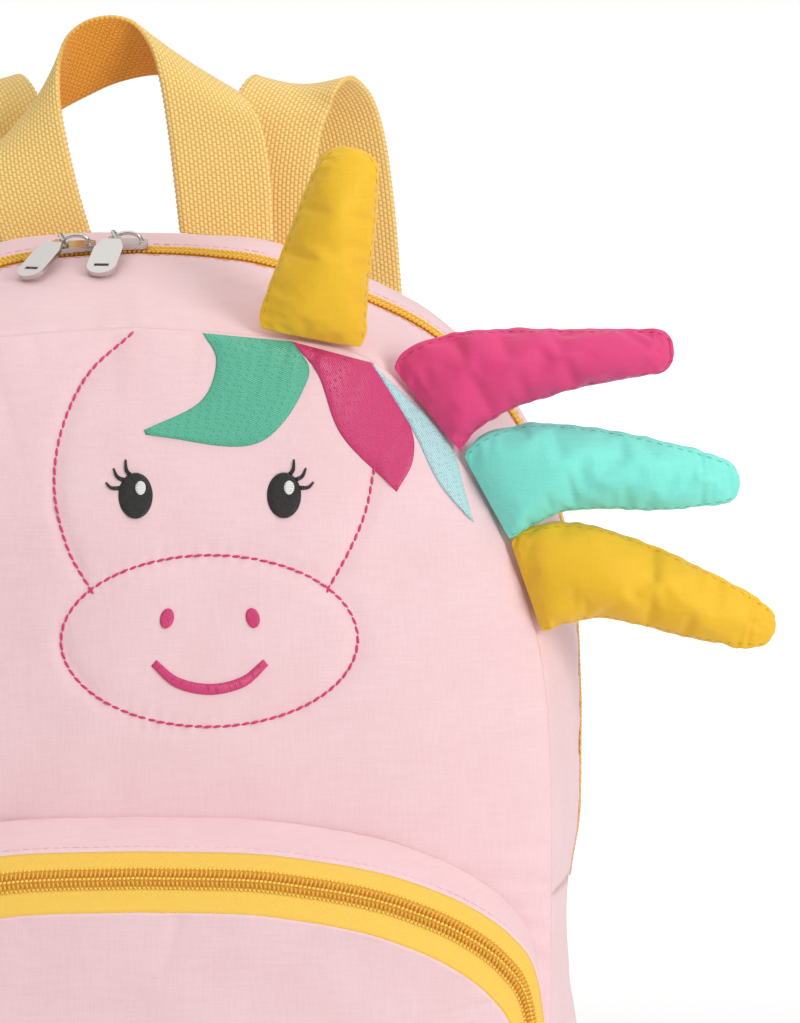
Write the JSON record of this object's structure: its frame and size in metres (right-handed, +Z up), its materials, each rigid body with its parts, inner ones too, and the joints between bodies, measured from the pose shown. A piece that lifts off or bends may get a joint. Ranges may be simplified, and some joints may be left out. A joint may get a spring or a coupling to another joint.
{
  "type": "child's backpack",
  "caption": "Child's unicorn backpack: padded arched body with a front pocket, stuffed horn and mane, webbing handle and straps, and swinging zip pull tabs.",
  "frame": {"origin": "middle of the flat underside of the bottom gusset, where the bag stands on the floor", "axes": "+Z up, -Y the front with the pocket, +X the side that carries the mane"},
  "size_m": [0.3372, 0.206, 0.3945],
  "materials": {
    "pink_cloth": "smooth woven polyester with a soft sheen",
    "webbing": "ribbed woven webbing, satin",
    "zip_tape": "herringbone zip tape",
    "zip_coil": "moulded nylon coil, satin",
    "gold_cloth": "smooth woven polyester, stuffed",
    "magenta_cloth": "smooth woven polyester, stuffed",
    "teal_cloth": "smooth woven polyester, stuffed",
    "slider_metal": "bright plated die-cast zinc"
  },
  "bodies": {
    "bag": {"front_panel": "pink_cloth", "back_panel": "pink_cloth", "front_gusset": "pink_cloth", "rear_gusset": "pink_cloth", "bottom_gusset": "pink_cloth", "pocket_band": "pink_cloth", "pocket_floor": "pink_cloth", "pocket_face": "pink_cloth", "main_zip": "zip_coil", "pocket_zip_coil": "zip_coil", "pocket_tape_upper": "zip_tape", "pocket_tape_lower": "zip_tape", "slider_left": "slider_metal", "slider_right": "slider_metal", "pocket_slider": "slider_metal", "carry_handle": "webbing", "strap_left": "webbing", "strap_right": "webbing", "horn": "gold_cloth", "mane_yellow": "gold_cloth", "mane_magenta": "magenta_cloth", "mane_teal": "teal_cloth"},
    "pull_left": {"pull_tab_left": "slider_metal"},
    "pull_right": {"pull_tab_right": "slider_metal"}
  },
  "joints": [
    {"name": "pull_left_swing", "type": "hinge", "parent": "bag", "child": "pull_left", "pos_m": [-0.02299, -0.00145, 0.32418], "axis": [-0.7372, 0.2081, -0.6428], "range_deg": [0, 125]},
    {"name": "pull_right_swing", "type": "hinge", "parent": "bag", "child": "pull_right", "pos_m": [-0.00654, -0.00131, 0.32521], "axis": [-0.7776, 0.1882, -0.6], "range_deg": [0, 125]}
  ]
}
